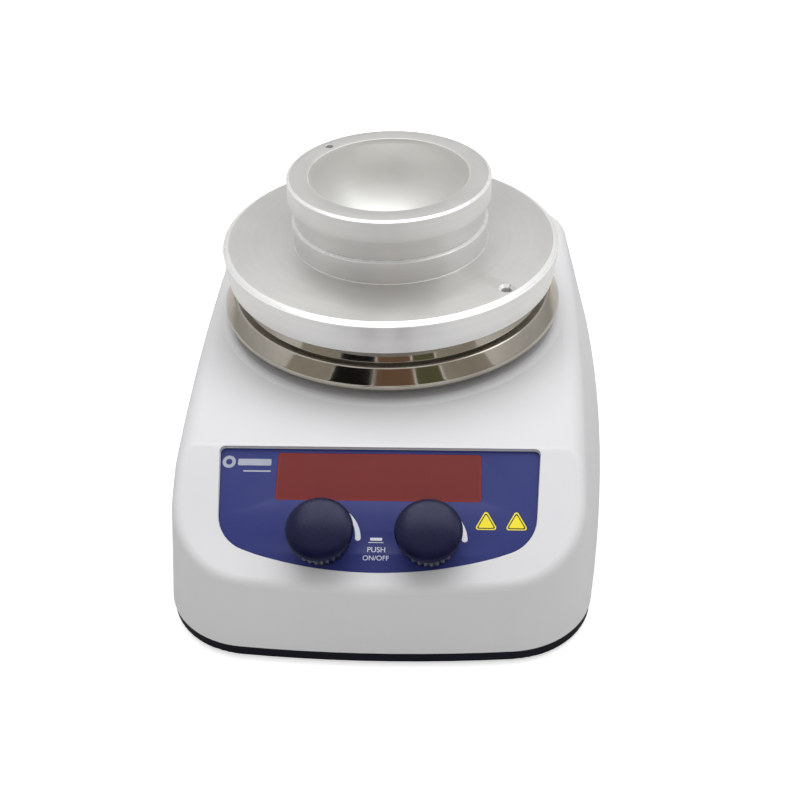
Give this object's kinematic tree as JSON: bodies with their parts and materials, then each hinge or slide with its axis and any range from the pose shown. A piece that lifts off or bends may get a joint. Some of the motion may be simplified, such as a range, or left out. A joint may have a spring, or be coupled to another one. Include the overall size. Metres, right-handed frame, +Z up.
{
  "type": "magnetic stirrer",
  "caption": "Hotplate magnetic stirrer with a lift-off round-flask heating block, push-and-turn knobs, display panel and motor-driven magnet rotor.",
  "frame": {"origin": "on the table under the middle of the housing's footprint", "axes": "+Z up; -Y is the front with the sloped control panel; +X is the user's right"},
  "size_m": [0.1874, 0.26, 0.1257],
  "materials": {
    "housing_white": "fine satin",
    "base_graphite": "matte",
    "rubber_black": "matte",
    "screw_steel": "satin",
    "panel_blue": "satin",
    "window_red": "smoked gloss",
    "board_green": "solder mask",
    "led_grey": "matte",
    "encoder_case": "satin",
    "plunger_white": "matte",
    "knob_navy": "satin",
    "stainless": "polished",
    "cast_aluminium": "as cast",
    "mica": "matte",
    "mineral_wool": "matte",
    "zinc_sheet": "satin",
    "ceramic": "matte",
    "turned_aluminium": "fine turned",
    "motor_alu": "satin",
    "lamination": "satin",
    "copper_winding": "enamelled",
    "ferrite": "matte",
    "nickel": "polished",
    "black_plastic": "fine matte",
    "cap_black": "gloss",
    "relay_blue": "gloss",
    "terminal_green": "matte",
    "brass": "satin",
    "fuse_glass": "clear",
    "rocker_black": "gloss"
  },
  "bodies": {
    "frame": {"top_housing": "housing_white", "base_plate": "base_graphite", "rubber_feet": "rubber_black", "base_screws": "screw_steel", "panel_overlay": "panel_blue", "display_window": "window_red", "display_board": "board_green", "led_digits": "led_grey", "heat_encoder": "encoder_case", "stir_encoder": "encoder_case", "plate_cover": "stainless", "heater_plate": "cast_aluminium", "heater_element": "mica", "insulation_ring": "mineral_wool", "heat_shield": "zinc_sheet", "plate_bushes": "ceramic", "plate_screws": "screw_steel", "plate_sensor": "nickel", "motor_mount": "motor_alu", "motor_bearings": "nickel", "stator_core": "lamination", "stator_coils": "copper_winding", "motor_board": "board_green", "main_board": "board_green", "board_screws": "screw_steel", "power_module": "black_plastic", "smoothing_capacitors": "cap_black", "relay": "relay_blue", "heatsink": "motor_alu", "triac": "black_plastic", "terminal_blocks": "terminal_green", "power_inlet": "black_plastic", "inlet_pins": "brass", "switch_frame": "black_plastic", "probe_socket": "nickel", "probe_pins": "brass", "rod_bush": "nickel"},
    "heat_push": {"heat_plunger": "plunger_white"},
    "heat_dial": {"heat_shaft": "nickel", "heat_knob": "knob_navy"},
    "stir_push": {"stir_plunger": "plunger_white"},
    "stir_dial": {"stir_shaft": "nickel", "stir_knob": "knob_navy"},
    "rotor": {"rotor_bell": "motor_alu", "rotor_magnet_ring": "ferrite", "motor_spindle": "nickel", "magnet_carrier": "black_plastic", "stir_magnets": "nickel"},
    "rocker": {"power_rocker": "rocker_black"},
    "fuse_tray": {"fuse_drawer": "black_plastic", "fuse": "fuse_glass"},
    "block": {"block_base": "turned_aluminium"},
    "insert": {"flask_insert": "turned_aluminium"}
  },
  "joints": [
    {"name": "heat_push", "type": "slide", "parent": "frame", "child": "heat_push", "axis": [0, 0.4431, -0.8965], "range_m": [0, 0.0006], "stiffness_N_per_m": 4000, "springref_m": -0.0003},
    {"name": "heat_turn", "type": "hinge", "parent": "heat_push", "child": "heat_dial", "pos_m": [-0.01945, -0.11003, 0.04293], "axis": [0, 0.4431, -0.8965], "continuous": true},
    {"name": "stir_push", "type": "slide", "parent": "frame", "child": "stir_push", "axis": [0, 0.4431, -0.8965], "range_m": [0, 0.0006], "stiffness_N_per_m": 4000, "springref_m": -0.0003},
    {"name": "stir_turn", "type": "hinge", "parent": "stir_push", "child": "stir_dial", "pos_m": [0.01945, -0.11003, 0.04293], "axis": [0, 0.4431, -0.8965], "continuous": true},
    {"name": "rotor_spin", "type": "hinge", "parent": "frame", "child": "rotor", "pos_m": [0, 0.022, 0.05], "axis": [0, 0, 1], "continuous": true},
    {"name": "power_rock", "type": "hinge", "parent": "frame", "child": "rocker", "pos_m": [0.038, 0.1195, 0.03], "axis": [1, 0, 0], "range_deg": [0, 16]},
    {"name": "fuse_pull", "type": "slide", "parent": "frame", "child": "fuse_tray", "axis": [0, 1, 0], "range_m": [0, 0.02]},
    {"name": "block_lift", "type": "slide", "parent": "frame", "child": "block", "axis": [0, 0, 1], "range_m": [0, 0.08]},
    {"name": "insert_lift", "type": "slide", "parent": "block", "child": "insert", "axis": [0, 0, 1], "range_m": [0, 0.06]}
  ]
}
